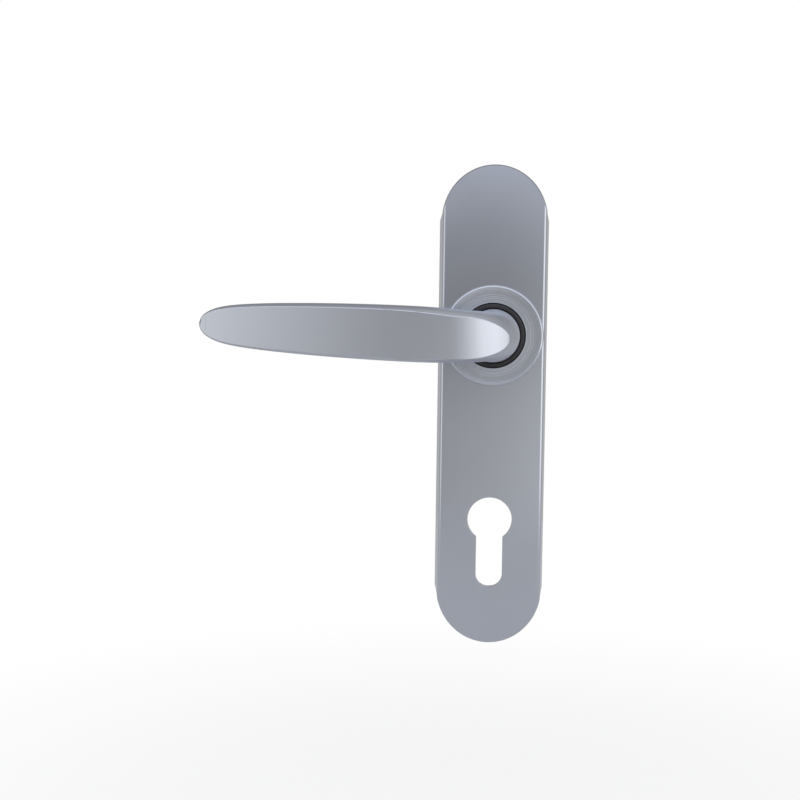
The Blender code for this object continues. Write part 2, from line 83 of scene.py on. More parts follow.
class PlateSizes(bpy.types.PropertyGroup):
    """Sizes of the backplate that the eye reads first."""

    depth: length("Depth", "Plate thickness without the boss", 10.0 * MM)
    face_half: length("Face half width", "Half the width of the flat front", 20.0 * MM)
    edge_radius: length("Edge radius", "Rounding where the front meets the long sides", 1.1 * MM)
    end_height: length("End height", "Rise of the milled round ends", 21.8 * MM)
    end_half: length("End half width", "Half the width of the milled round ends", 20.6 * MM)
    cylinder_drop: length("Cylinder drop", "From the lever axis down to the cut-out", 72.0 * MM)
    cut_radius: length("Cut-out radius", "Radius of the round part of the cut-out", 8.65 * MM)
    slot_half: length("Slot half width", "Half the width of the slot", 5.15 * MM)
    rim_radius: length("Rim radius", "Radius of the boss at its crisp rim", 19.5 * MM)


class LeverSizes(bpy.types.PropertyGroup):
    """Sizes of the lever."""

    neck_radius: length("Neck radius", "Radius of the round neck", 10.2 * MM)
    elbow_radius: length("Elbow radius", "Bend radius on the neck's centre line", 11.5 * MM)
    elbow_section: length("Elbow section", "Radius the neck draws in to", 8.9 * MM)
    bar_out: length("Bar distance", "Centre of the bar from the door, at the elbow", 51.5 * MM)
    face_out: length("Front distance", "Flat front of the lever from the door", 56.6 * MM)
    tip_rise: length("Tip rise", "How far the tip sits above the axis", 3.2 * MM)
    edge_radius: length("Edge radius", "Rounding round the leaf-shaped front", 0.22 * MM)


class HandleColours(bpy.types.PropertyGroup):
    """Colours of the finishes."""

    aluminium: colour("Aluminium", "Satin anodised aluminium", (0.58, 0.605, 0.655))
    nylon: colour("Bush nylon", "Black nylon of the bush", (0.018, 0.018, 0.02))
    frame_nylon: colour("Frame nylon", "Grey nylon of the back frame", (0.10, 0.10, 0.105))
    steel: colour("Zinc-plated steel", "Bright plated steel", (0.58, 0.59, 0.57))
    zinc: colour("Cast zinc", "As-cast zinc alloy", (0.40, 0.40, 0.41))
    dark_steel: colour("Blackened steel", "Oil-blackened steel", (0.05, 0.05, 0.055))


# ---------------------------------------------------------------- modelling helpers


def deselect_all():
    """Leave object mode and let go of everything."""
    if bpy.context.mode != "OBJECT":
        bpy.ops.object.mode_set(mode="OBJECT")
    bpy.ops.object.select_all(action="DESELECT")


def make_active(ob):
    """Select one object alone."""
    deselect_all()
    ob.select_set(True)
    bpy.context.view_layer.objects.active = ob


def key_of(co):
    """A rounded place, to find a vertex again after an extrude."""
    return tuple(round(c, 8) for c in co)


def put_ring(ob, old, new):
    """Move the selected vertices from the places in old to those in new."""
    bm = bmesh.from_edit_mesh(ob.data)
    index = {key_of(co): i for i, co in enumerate(old)}
    for vert in bm.verts:
        if vert.select:
            vert.co = new[index[key_of(vert.co)]]
    bmesh.update_edit_mesh(ob.data)


def stored(loop):
    """Points as the mesh keeps them, in single precision."""
    mesh = bpy.data.meshes.new("store")
    mesh.from_pydata([tuple(p) for p in loop], [], [])
    kept = [v.co.copy() for v in mesh.vertices]
    bpy.data.meshes.remove(mesh)
    return kept


def loft(name, loops):
    """A disc extruded ring by ring through loops of points, closed at both ends."""
    deselect_all()
    bpy.ops.mesh.primitive_circle_add(vertices=len(loops[0]), radius=1.0, fill_type="NGON")
    ob = bpy.context.object
    ob.name = name
    bpy.ops.object.mode_set(mode="EDIT")
    bpy.ops.mesh.select_all(action="SELECT")
    bm = bmesh.from_edit_mesh(ob.data)
    last = stored(loops[0])
    bm.verts.ensure_lookup_table()
    for i, co in enumerate(last):
        bm.verts[i].co = co
    bmesh.update_edit_mesh(ob.data)
    for loop in loops[1:]:
        bpy.ops.mesh.extrude_region_move()
        put_ring(ob, last, loop)
        last = stored(loop)
    bpy.ops.mesh.select_all(action="SELECT")
    bpy.ops.mesh.normals_make_consistent(inside=False)
    bpy.ops.object.mode_set(mode="OBJECT")
    return ob


def turned(name, profile, centre_z, steps=128, centre_x=0.0):
    """A ring turned about a line along Y: the profile is a closed loop of (radius, y)."""
    deselect_all()
    bpy.ops.mesh.primitive_circle_add(vertices=len(profile), radius=1.0, fill_type="NOTHING")
    ob = bpy.context.object
    ob.name = name
    bpy.ops.object.mode_set(mode="EDIT")
    bm = bmesh.from_edit_mesh(ob.data)
    bm.verts.ensure_lookup_table()
    for i, (radius, y) in enumerate(profile):
        bm.verts[i].co = (centre_x + radius, y, centre_z)
    bmesh.update_edit_mesh(ob.data)
    bpy.ops.mesh.select_all(action="SELECT")
    bpy.ops.mesh.spin(steps=steps, angle=2.0 * math.pi, center=(centre_x, 0.0, centre_z),
                      axis=(0.0, 1.0, 0.0), use_auto_merge=True)
    bpy.ops.mesh.select_all(action="SELECT")
    bpy.ops.mesh.remove_doubles(threshold=1e-6)
    bpy.ops.mesh.normals_make_consistent(inside=False)
    bpy.ops.object.mode_set(mode="OBJECT")
    return ob


def rod(name, radius, y0, y1, x=0.0, z=0.0, sides=96):
    """A round bar along Y."""
    deselect_all()
    bpy.ops.mesh.primitive_cylinder_add(vertices=sides, radius=radius, depth=abs(y1 - y0),
                                        location=(x, (y0 + y1) / 2, z),
                                        rotation=(math.pi / 2, 0.0, 0.0))
    ob = bpy.context.object
    ob.name = name
    bpy.ops.object.transform_apply(location=True, rotation=True, scale=True)
    return ob


def block(name, low, high):
    """A plain cutting block between two corners."""
    deselect_all()
    bpy.ops.mesh.primitive_cube_add(size=1.0, location=[(a + b) / 2 for a, b in zip(low, high)])
    ob = bpy.context.object
    ob.name = name
    bpy.ops.transform.resize(value=[b - a for a, b in zip(low, high)])
    bpy.ops.object.transform_apply(location=True, rotation=True, scale=True)
    return ob


def apply_boolean(ob, tool, operation="DIFFERENCE"):
    """One exact boolean, after which the tool is gone."""
    if ob.data.materials and not tool.data.materials:
        tool.data.materials.append(ob.data.materials[0])
    make_active(ob)
    mod = ob.modifiers.new("shape", "BOOLEAN")
    mod.operation = operation
    mod.solver = "EXACT"
    mod.material_mode = "TRANSFER"
    mod.object = tool
    bpy.ops.object.modifier_apply(modifier=mod.name)
    used = tool.data
    bpy.data.objects.remove(tool, do_unlink=True)
    bpy.data.meshes.remove(used)


def soften(ob, width, angle, segments=2):
    """Round every edge sharper than an angle."""
    make_active(ob)
    mod = ob.modifiers.new("soften", "BEVEL")
    mod.width = width
    mod.segments = segments
    mod.limit_method = "ANGLE"
    mod.angle_limit = math.radians(angle)
    mod.use_clamp_overlap = False
    mod.miter_outer = "MITER_ARC"
    bpy.ops.object.modifier_apply(modifier=mod.name)


def shade(ob, angle):
    """Smooth shading with sharp edges past an angle, flat faces kept flat."""
    make_active(ob)
    bpy.ops.object.shade_smooth_by_angle(angle=math.radians(angle), keep_sharp_edges=False)
    mod = ob.modifiers.new("weigh", "WEIGHTED_NORMAL")
    mod.keep_sharp = True
    mod.weight = 80
    bpy.ops.object.modifier_apply(modifier=mod.name)


def clean(ob, distance=2e-6):
    """Merge stray doubles that a boolean leaves."""
    make_active(ob)
    bpy.ops.object.mode_set(mode="EDIT")
    bpy.ops.mesh.select_all(action="SELECT")
    bpy.ops.mesh.remove_doubles(threshold=distance)
    bpy.ops.mesh.dissolve_degenerate(threshold=distance)
    bpy.ops.object.mode_set(mode="OBJECT")


def complete(ob, finish, body, slot, *nodes):
    """Give a piece its finish and its body, and hide the nodes it stands for; the slot argument
    is not used.
    """
    ob.data.materials.clear()
    ob.data.materials.append(finish)
    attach(ob, body)
    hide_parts(*nodes)
    return ob


def arc(cx, cz, radius, start, end, count):
    """Points of an arc in X and Z, angles in degrees."""
    points = []
    for i in range(count):
        a = math.radians(start + (end - start) * i / (count - 1))
        points.append((cx + radius * math.cos(a), cz + radius * math.sin(a)))
    return points


def level(outline, y):
    """An outline in X and Z put at one depth."""
    return [Vector((x, y, z)) for x, z in outline]


# ---------------------------------------------------------------- shader helpers


class Wire:
    """A socket that can be used in Python sums; each sum adds a Math node."""

    def __init__(self, tree, socket):
        self.tree = tree
        self.socket = socket

    def combine(self, operation, first, second):
        """Add a Math node on two values or wires."""
        node = self.tree.nodes.new("ShaderNodeMath")
        node.operation = operation
        for slot, value in zip(node.inputs, (first, second)):
            if isinstance(value, Wire):
                self.tree.links.new(value.socket, slot)
            else:
                slot.default_value = value
        return Wire(self.tree, node.outputs[0])

    def __add__(self, other):
        return self.combine("ADD", self, other)

    __radd__ = __add__

    def __sub__(self, other):
        return self.combine("SUBTRACT", self, other)

    def __rsub__(self, other):
        return self.combine("SUBTRACT", other, self)

    def __mul__(self, other):
        return self.combine("MULTIPLY", self, other)

    __rmul__ = __mul__

    def __pow__(self, other):
        return self.combine("POWER", self, other)


class Nodes:
    """One node tree, with one way to add a node."""

    def __init__(self, tree):
        self.tree = tree

    def add(self, kind, settings=None, inputs=None, output=0):
        """Add a node: its settings first, then its sockets' values or wires."""
        node = self.tree.nodes.new(kind)
        for name, value in (settings or {}).items():
            if name == "stops":
                ramp = node.color_ramp
                while len(ramp.elements) < len(value):
                    ramp.elements.new(0.5)
                for element, (place, tone) in zip(ramp.elements, value):
                    element.position = place
                    element.color = (*tone, 1.0)
            else:
                setattr(node, name, value)
        for name, value in (inputs or {}).items():
            socket = node.inputs[name]
            if isinstance(value, Wire):
                self.tree.links.new(value.socket, socket)
            elif hasattr(socket.default_value, "__len__") and not hasattr(value, "__len__"):
                socket.default_value = [value] * len(socket.default_value)
            else:
                socket.default_value = value
        return Wire(self.tree, node.outputs[output])

    def mix(self, factor, low, high, blend="MIX"):
        """Mix two colours."""
        return self.add("ShaderNodeMix", {"data_type": "RGBA", "blend_type": blend},
                        {0: factor, 6: low, 7: high}, output=2)

    def span(self, value, low, high, to_low=0.0, to_high=1.0):
        """Rescale a value, eased and clamped."""
        return self.add("ShaderNodeMapRange", {"interpolation_type": "SMOOTHSTEP"},
                        {"Value": value, "From Min": low, "From Max": high,
                         "To Min": to_low, "To Max": to_high})


class Finish(Nodes):
    """A material with one Principled shader and object coordinates."""

    def __init__(self, name, metallic, roughness, **fixed):
        self.material = bpy.data.materials.new(name)
        self.material.use_nodes = True
        super().__init__(self.material.node_tree)
        self.shader = next(n for n in self.tree.nodes if n.type == "BSDF_PRINCIPLED")
        self.shader.inputs["Metallic"].default_value = metallic
        self.shader.inputs["Roughness"].default_value = roughness
        for socket, value in fixed.items():
            self.shader.inputs[socket.replace("_", " ")].default_value = value
        self.place = self.add("ShaderNodeTexCoord", output=3)

    def noise(self, size, stretch=(1.0, 1.0, 1.0), detail=3.0, rough=0.5):
        """Noise whose grain is size metres across, drawn out along an axis by stretch."""
        scale = [1.0 / (size * s) for s in stretch]
        moved = self.add("ShaderNodeMapping", None, {"Vector": self.place, "Scale": scale})
        return self.add("ShaderNodeTexNoise", None,
                        {"Vector": moved, "Scale": 1.0, "Detail": detail, "Roughness": rough})

    def edges(self, low=0.52, high=0.6):
        """One on worn outer edges, nought elsewhere."""
        return self.span(self.add("ShaderNodeNewGeometry", output=7), low, high)

    def set(self, socket, wire):
        """Feed a socket of the shader."""
        self.tree.links.new(wire.socket, self.shader.inputs[socket])

    def bump(self, height, distance, strength=1.0):
        """Raise the surface by a height, for the shader's normal."""
        self.set("Normal", self.add("ShaderNodeBump", None, {
            "Height": height, "Distance": distance, "Strength": strength}))


def tint(rgb, factor):
    """A colour made lighter or darker, with its alpha."""
    return (*[min(1.0, c * factor) for c in rgb], 1.0)


def satin_aluminium(name, rgb, along, base):
    """Matted, anodised aluminium with a faint grain along the part."""
    finish = Finish(name, 1.0, base)
    long = [60.0 if axis == along else 1.0 for axis in "xyz"]
    grain = finish.noise(0.08 * MM, long, 2.0)
    matt = finish.noise(0.10 * MM, detail=2.0)
    cloud = finish.noise(26.0 * MM, detail=2.0)
    worn = finish.edges(0.53, 0.62)
    tone = finish.mix(finish.span(cloud, 0.3, 0.7), tint(rgb, 0.985), tint(rgb, 1.01))
    tone = finish.mix(finish.span(grain, 0.35, 0.65) * 0.5, tone, tint(rgb, 0.965))
    tone = finish.mix(worn * 0.3, tone, tint(rgb, 1.1))
    finish.set("Base Color", tone)
    finish.set("Roughness", base + grain * 0.02 + matt * 0.015 + cloud * 0.02 - worn * 0.02)
    finish.bump(grain * 0.3 + matt * 0.7, 0.0012 * MM, 0.2)
    return finish.material


def turned_aluminium(name, rgb, centre_z):
    """The same anodised skin over fine lathe lines round the lever axis."""
    finish = Finish(name, 1.0, 0.15)
    apart = finish.add("ShaderNodeVectorMath", {"operation": "MULTIPLY_ADD"}, {
        0: finish.place, 1: (1.0, 0.0, 1.0), 2: (0.0, 0.0, -centre_z)})
    radius = finish.add("ShaderNodeVectorMath", {"operation": "LENGTH"}, {0: apart}, output=1)
    lines = finish.add("ShaderNodeTexNoise", {"noise_dimensions": "1D"}, {
        "W": radius * (1.0 / (0.16 * MM)), "Scale": 1.0, "Detail": 1.0})
    cloud = finish.noise(20.0 * MM, detail=2.0)
    tone = finish.mix(finish.span(lines, 0.3, 0.7), tint(rgb, 0.97), tint(rgb, 1.02))
    finish.set("Base Color", tone)
    finish.set("Roughness", 0.13 + lines * 0.04 + cloud * 0.02)
    finish.bump(lines, 0.015 * MM, 1.0)
    return finish.material


def moulded_nylon(name, rgb, roughness, size):
    """Moulded nylon with a spark-eroded skin."""
    finish = Finish(name, 0.0, roughness, Specular_IOR_Level=0.45)
    skin = finish.noise(size, detail=3.0)
    flow = finish.noise(9.0 * MM, (1.0, 1.0, 3.0), 2.0)
    worn = finish.edges()
    tone = finish.mix(finish.span(flow, 0.3, 0.7), tint(rgb, 0.85), tint(rgb, 1.15))
    finish.set("Base Color", finish.mix(worn * 0.5, tone, tint(rgb, 1.9)))
    finish.set("Roughness", roughness - 0.05 + skin * 0.12 - worn * 0.06)
    finish.bump(skin, 0.02 * MM, 0.6)
    return finish.material


def plated_steel(name, rgb, roughness=0.3):
    """Zinc-plated steel with a thin passivation tint and rolling lines."""
    finish = Finish(name, 1.0, roughness)
    lines = finish.noise(0.15 * MM, (1.0, 8.0, 30.0), 2.0)
    patch = finish.noise(4.0 * MM, detail=3.0)
    worn = finish.edges()
    cool = tint((rgb[0] * 0.94, rgb[1] * 0.98, rgb[2] * 1.08), 1.0)
    warm = tint((rgb[0] * 1.07, rgb[1] * 1.03, rgb[2] * 0.9), 1.0)
    tone = finish.mix(finish.span(patch, 0.35, 0.65), cool, warm)
    finish.set("Base Color", finish.mix(worn * 0.4, tone, tint(rgb, 1.2)))
    finish.set("Roughness", roughness - 0.06 + lines * 0.1 + patch * 0.05 - worn * 0.05)
    finish.bump(lines, 0.006 * MM, 0.4)
    return finish.material


def cast_zinc(name, rgb):
    """Die-cast zinc as it leaves the mould."""
    finish = Finish(name, 1.0, 0.5)
    grain = finish.noise(0.35 * MM, detail=4.0, rough=0.6)
    patch = finish.noise(6.0 * MM, detail=2.0)
    worn = finish.edges()
    tone = finish.mix(finish.span(patch, 0.3, 0.7), tint(rgb, 0.85), tint(rgb, 1.1))
    finish.set("Base Color", finish.mix(worn * 0.5, tone, tint(rgb, 1.4)))
    finish.set("Roughness", 0.42 + grain * 0.16 - worn * 0.1)
    finish.bump(grain, 0.02 * MM, 0.5)
    return finish.material


def blackened_steel(name, rgb):
    """Oil-blackened spring steel, rubbed bright on its edges."""
    finish = Finish(name, 1.0, 0.38)
    mottle = finish.noise(1.2 * MM, detail=4.0)
    worn = finish.edges()
    tone = finish.mix(finish.span(mottle, 0.3, 0.7), tint(rgb, 0.7), tint(rgb, 1.5))
    finish.set("Base Color", finish.mix(worn * 0.6, tone, (0.25, 0.25, 0.26, 1.0)))
    finish.set("Roughness", 0.32 + mottle * 0.14)
    finish.bump(mottle, 0.008 * MM, 0.4)
    return finish.material


# ---------------------------------------------------------------- backplate


SHOULDER = 2.4 * MM             # run from a round end to the full width
SHOULDER_START = 8.0            # degrees of each end's arc that the shoulder takes
END_CHAMFER = (0.48, 1.0)       # in from the outline and down from the front, mm
HOLLOW_HALF = 17.6 * MM
HOLLOW_DEPTH = 7.6              # mm from the door
HOLLOW_SHRINK = 0.965           # keeps a wall at the two ends
SEAT_RADIUS = 15.0 * MM
SEAT_OUT = 9.7 * MM
BUSH_HOLE = 12.7 * MM
BOSS_BORE = 11.0 * MM           # inside the bush hole, so that one cut makes the hole
BOSS_LIP = 0.85 * MM
SLOT_CORNER = 5.0 * MM
SLOT_BOTTOM = 26.6 * MM         # below the middle of the round part


def end_outline(half, across, along, inset=0.0, steps=96):
    """Long outline with round ends and a short shoulder before the full width."""
    middle = (PLATE_HIGH[2] - PLATE_LOW[2]) / 2 - along
    first = math.radians(SHOULDER_START)
    shoulder = middle + along * math.sin(first) - SHOULDER
    end = []
    for i in range(steps):
        a = first + (math.pi - 2.0 * first) * i / (steps - 1)
        end.append(((across - inset) * math.cos(a), middle + (along - inset) * math.sin(a)))
    points = [(half, -shoulder), (half, shoulder)] + end
    points += [(-half, shoulder), (-half, -shoulder)]
    return points + [(-x, -z) for x, z in end]


def cut_outline(radius, half, centre_z, grow):
    """Euro-profile cut-out: a round part with a slot hanging from it."""
    radius = radius + grow
    half = half + grow
    corner = SLOT_CORNER + grow
    bottom = centre_z - SLOT_BOTTOM - grow
    meet = math.degrees(math.asin(half / radius))
    points = arc(0.0, centre_z, radius, -90.0 + meet, 270.0 - meet, 96)
    points += arc(-half + corner, bottom + corner, corner, 180.0, 270.0, 20)
    points += arc(half - corner, bottom + corner, corner, 270.0, 360.0, 20)
    return points


def boss_profile(rim, bottom):
    """Half section of the boss: a straight flank, a rounded rim and a shallow dish."""
    rim_y = PLATE_LOW[1]
    lip = BOSS_LIP
    profile = [(BOSS_BORE, bottom), (rim, bottom)]
    for i in range(17):
        a = math.radians(97.0 * i / 16)
        profile.append((rim - lip + lip * math.cos(a), rim_y + lip - lip * math.sin(a)))
    edge, start = profile[-1]
    for i in range(1, 17):
        share = i / 16
        fall = 0.10 * share + 0.07 * (1.0 - (1.0 - share) ** 8)
        profile.append((edge - (edge - BUSH_HOLE) * share, start + fall * MM))
    profile.append((BOSS_BORE, profile[-1][1]))
    return profile


class HANDLE_OT_face_plate(bpy.types.Operator):
    """Extruded, milled and matted aluminium cover with its boss and cut-out"""

    bl_idname = "handle.face_plate"
    bl_label = "Face Plate"

    def execute(self, context):
        size = context.scene.handle_plate
        top = PLATE_HIGH[2] + 1.0 * MM
        base = (PLATE_HIGH[0] - PLATE_LOW[0]) / 2
        slope = math.atan2(base - size.face_half, size.depth)
        turn = math.radians(90.0) - slope
        reach = size.edge_radius * math.tan(turn / 2)
        side = [(base, 0.0)]
        for i in range(9):
            a = slope + turn * i / 8
            side.append((size.face_half - reach + size.edge_radius * math.cos(a),
                         -size.depth + size.edge_radius - size.edge_radius * math.sin(a)))
        section = side + [(-x, y) for x, y in reversed(side)]
        loops = [[Vector((x, y, z)) for x, y in section] for z in (-top, top)]
        plate = loft("face_plate_cover", loops)
        plate.data.materials.append(bpy.data.materials["plate_satin"])

        boss = turned("boss", boss_profile(size.rim_radius, -6.0 * MM), AXIS_Z, 192)
        boss.data.materials.append(bpy.data.materials["plate_turned"])
        apply_boolean(plate, boss, "UNION")

        keep = []
        front = -size.depth / MM
        across, down = END_CHAMFER
        for y, inset in ((1.0, 0.0), (down + front, 0.0), (front, across), (-30.0, across)):
            outline = end_outline(base, size.end_half, size.end_height, inset * MM)
            keep.append(level(outline, y * MM))
        apply_boolean(plate, loft("ends", keep), "INTERSECT")

        hollow = end_outline(HOLLOW_HALF, HOLLOW_HALF, size.end_height, 0.0, 48)
        hollow = [(x, z * HOLLOW_SHRINK) for x, z in hollow]
        apply_boolean(plate, loft("hollow", [level(hollow, 1.0 * MM),
                                             level(hollow, -HOLLOW_DEPTH * MM)]))
        apply_boolean(plate, rod("seat", SEAT_RADIUS, 0.0, -SEAT_OUT, z=AXIS_Z))
        apply_boolean(plate, rod("hole", BUSH_HOLE, 0.0, -30.0 * MM, z=AXIS_Z, sides=192))

        centre = AXIS_Z - size.cylinder_drop
        loops = []
        for y, grow in ((11.0, 0.0), (0.22, 0.0), (0.1, 0.04), (0.03, 0.12), (0.0, 0.25),
                        (-1.0, 0.25)):
            loops.append(level(cut_outline(size.cut_radius, size.slot_half, centre, grow * MM),
                               -size.depth + y * MM))
        apply_boolean(plate, loft("cut_out", loops))
        clean(plate)
        shade(plate, 24.0)
        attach(plate, "plate")
        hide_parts("face_plate")
        return {"FINISHED"}


class HANDLE_OT_guide_bush(bpy.types.Operator):
    """Black nylon bush with a rounded lip and a fine groove"""

    bl_idname = "handle.guide_bush"
    bl_label = "Guide Bush"

    def execute(self, context):
        low, high = BUSH_LOW, BUSH_HIGH
        flange = (high[0] - low[0]) / 2
        front = low[1]
        bore = 10.42 * MM
        outer = 12.4 * MM
        profile = [(bore, high[1]), (flange, high[1]), (flange, high[1] - 1.2 * MM),
                   (outer, high[1] - 1.2 * MM), (outer, front + 1.0 * MM)]
        middle = (outer + bore) / 2
        half = (outer - bore) / 2
        for i in range(1, 16):
            a = math.pi * i / 16
            groove = 0.12 * MM * math.exp(-((i - 8) / 1.2) ** 2)
            profile.append((middle + half * math.cos(a), front + 1.0 * MM - 1.0 * MM
                            * math.sin(a) ** 0.8 + groove))
        profile.append((bore, front + 1.0 * MM))
        bush = turned("guide_bush_ring", profile, AXIS_Z, 128)
        shade(bush, 40.0)
        complete(bush, bpy.data.materials["bush_nylon"], "plate", "black_nylon", "guide_bush")
        return {"FINISHED"}


# ---------------------------------------------------------------- lever


TIP_INSET = 0.25 * MM           # room for the rounding at the tip
GROOVE_OUT = (5.3 * MM, 6.6 * MM)
GROOVE_RADIUS = 9.3 * MM
NECK_EASE = (16.0, 20.0)        # where the neck starts to slim and how far that takes, mm
DRAW_IN = 0.125                 # how far the upper outer part is drawn in
ELBOW_DRAW = 0.03               # and how much more in the middle of the elbow
DRAW_FADE = 34.0 * MM
OUTER_SHARE = 0.94              # depth of the bar's outer side as a share of its half height
INNER_SHARE = 0.78
FRONT_LEAN = 3.0                # degrees
FRONT_SKEW = 0.05
# Half height at a distance from the tip, mm
HALF_HEIGHTS = ((0.0, 0.0), (0.5, 2.3), (3.4, 4.95), (9.2, 6.9), (20.8, 8.3),
                (38.3, 9.3), (55.0, 9.83), (73.0, 10.06), (84.4, 9.93), (95.5, 9.4))


def half_height(distance):
    """Half height of the bar at a distance from its tip, eased through the stations."""
    keys = [math.sqrt(s) for s, _ in HALF_HEIGHTS]
    values = [v for _, v in HALF_HEIGHTS]
    x = math.sqrt(max(distance / MM, 0.0))
    if x >= keys[-1]:
        return values[-1] * MM
    i = max(k for k in range(len(keys) - 1) if keys[k] <= x)
    slopes = []
    for k in (i, i + 1):
        a = max(k - 1, 0)
        b = min(k + 1, len(keys) - 1)
        slopes.append((values[b] - values[a]) / (keys[b] - keys[a]))
    span = keys[i + 1] - keys[i]
    t = (x - keys[i]) / span
    return MM * ((2 * t ** 3 - 3 * t ** 2 + 1) * values[i]
                 + (t ** 3 - 2 * t ** 2 + t) * span * slopes[0]
                 + (3 * t ** 2 - 2 * t ** 3) * values[i + 1]
                 + (t ** 3 - t ** 2) * span * slopes[1])


def front_out(x, face_out):
    """How far the flat front stands out from the door."""
    x = x / MM
    if x < -20.0:
        return face_out - 0.0007 * MM * (x + 20.0) ** 2
    return face_out - 5.2 * MM * ((x + 20.0) / 25.4) ** 3.5


def ring(x, out, angle, high, deep, rise, slack=0.0, count=96):
    """One section of the lever: an ellipse square to its path, its upper outer part drawn in."""
    points = []
    for i in range(count):
        a = 2.0 * math.pi * i / count
        side = deep * math.cos(a)
        if a < math.pi / 2:
            side *= 1.0 - slack * math.sin(2.0 * a)
        elif a > 1.5 * math.pi:
            side *= 1.0 - 0.3 * slack * math.sin(2.0 * a)
        points.append(Vector((x + side * math.cos(angle), -(out + side * math.sin(angle)),
                              AXIS_Z + rise + high * math.sin(a))))
    return points


class HANDLE_OT_lever(bpy.types.Operator):
    """Cast lever: round neck, elbow and a bar with a crisp leaf-shaped front"""

    bl_idname = "handle.lever"
    bl_label = "Lever"

    def execute(self, context):
        size = context.scene.handle_lever
        neck = size.neck_radius
        elbow = size.elbow_radius
        tip = LEVER_LOW[0] + TIP_INSET
        end = -LEVER_HIGH[1]
        bend_out = size.bar_out - elbow
        slim = size.elbow_section
        near, far = GROOVE_OUT
        loops = []
        for out, radius in ((end, neck - 0.3 * MM), (end + 0.3 * MM, neck),
                            (near, neck), (near, GROOVE_RADIUS), (far, GROOVE_RADIUS),
                            (far, neck), (12.0 * MM, neck)):
            loops.append(ring(0.0, out, 0.0, radius, radius, 0.0))
        for i in range(21):
            share = i / 20
            ease = share * share * (3.0 - 2.0 * share)
            radius = neck + (slim - neck) * ease
            out = (NECK_EASE[0] + NECK_EASE[1] * share) * MM
            loops.append(ring(0.0, out, 0.0, radius, radius, 0.0))
        start = half_height(-elbow - tip)
        for i in range(31):
            a = math.pi / 2 * i / 31
            high = slim + (start - slim) * (i / 31) ** 2
            loops.append(ring(-elbow + elbow * math.cos(a), bend_out + elbow * math.sin(a),
                              a, high, slim, 0.0,
                              DRAW_IN * i / 31 + ELBOW_DRAW * math.sin(math.pi * i / 31)))
        reach = -elbow - tip
        steps = 90
        for i in range(steps + 1):
            share = 1.0 - (1.0 - i / (steps + 0.6)) ** 1.8
            x = -elbow - reach * share
            high = half_height(x - tip)
            blend = min(share / 0.3, 1.0)
            blend = blend * blend * (3.0 - 2.0 * blend)
            outer = slim * (1.0 - blend) + OUTER_SHARE * high * blend
            inner = slim * (1.0 - blend) + INNER_SHARE * high * blend
            sit = front_out(x, size.face_out) - (0.56 - 0.09 * share) * outer
            out = size.bar_out * (1.0 - blend) + sit * blend + (outer - inner) / 2
            draw = DRAW_IN * max(1.0 - (-elbow - x) / DRAW_FADE, 0.0)
            loops.append(ring(x, out, math.pi / 2, high, (outer + inner) / 2,
                              size.tip_rise * share, draw))
        lever = loft("lever_grip", loops)

        xs = [(-118.0 + 1.07 * i) * MM for i in range(126)]
        outline = [(x, -front_out(x, size.face_out)) for x in xs]
        outline = [(xs[0], -90.0 * MM)] + outline + [(xs[-1], -90.0 * MM)]
        lean = math.tan(math.radians(FRONT_LEAN))
        loops = [[Vector((x - FRONT_SKEW * z, y - z * lean, AXIS_Z + z)) for x, y in outline]
                 for z in (-0.03, 0.03)]
        cutter = loft("front_cut", loops)
        cutter.data.materials.append(bpy.data.materials["lever_satin"])
        lever.data.materials.append(bpy.data.materials["lever_blasted"])
        apply_boolean(lever, cutter)
        clean(lever)
        soften(lever, size.edge_radius, 15.0, 3)
        bore = block("bore", (-4.3 * MM, -31.0 * MM, AXIS_Z - 4.3 * MM),
                     (4.3 * MM, 0.0, AXIS_Z + 4.3 * MM))
        apply_boolean(lever, bore)
        deselect_all()
        bpy.ops.mesh.primitive_cylinder_add(vertices=48, radius=3.3 * MM, depth=14.0 * MM,
                                            location=(0.0, -19.0 * MM, AXIS_Z - 7.0 * MM))
        hole = bpy.context.object
        bpy.ops.object.transform_apply(location=True, rotation=True, scale=True)
        apply_boolean(lever, hole)
        clean(lever)
        shade(lever, 28.0)
        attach(lever, "lever")
        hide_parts("lever_handle")
        return {"FINISHED"}


# ---------------------------------------------------------------- finishes


CARRIED = {
    "back_frame": "frame_nylon",
    "wave_washer": "dark_steel",
    "thrust_washer": "plated_steel",
    "circlip": "dark_steel",
    "cassette_ring": "cast_zinc",
    "cassette_cover": "plated_steel",
    "spring_pin": "plated_steel",
    "driver_disc": "cast_zinc",
    "return_spring": "plated_steel",
    "spindle": "plated_steel",
    "grub_screw": "dark_steel",
    "upper_post": "plated_steel",
    "lower_post": "plated_steel",
    "frame_screw_1": "plated_steel",
    "frame_screw_2": "plated_steel",
    "frame_screw_3": "plated_steel",
    "frame_screw_4": "plated_steel",
}


class HANDLE_OT_finishes(bpy.types.Operator):
    """Makes the finishes and gives them to the pieces that stay as they are"""

    bl_idname = "handle.finishes"
    bl_label = "Finishes"

    def execute(self, context):
        tones = context.scene.handle_colours
        satin_aluminium("plate_satin", tones.aluminium, "z", 0.13)
        turned_aluminium("plate_turned", tones.aluminium, AXIS_Z)
        satin_aluminium("lever_satin", tones.aluminium, "x", 0.16)
        satin_aluminium("lever_blasted", tones.aluminium, "y", 0.36)
        moulded_nylon("bush_nylon", tones.nylon, 0.42, 0.12 * MM)
        moulded_nylon("frame_nylon", tones.frame_nylon, 0.5, 0.25 * MM)
        plated_steel("plated_steel", tones.steel)
        cast_zinc("cast_zinc", tones.zinc)
        blackened_steel("dark_steel", tones.dark_steel)
        for name, finish in CARRIED.items():
            node = frame["nodes"][name]
            node.data.materials.clear()
            node.data.materials.append(bpy.data.materials[finish])
        return {"FINISHED"}


# ---------------------------------------------------------------- studio


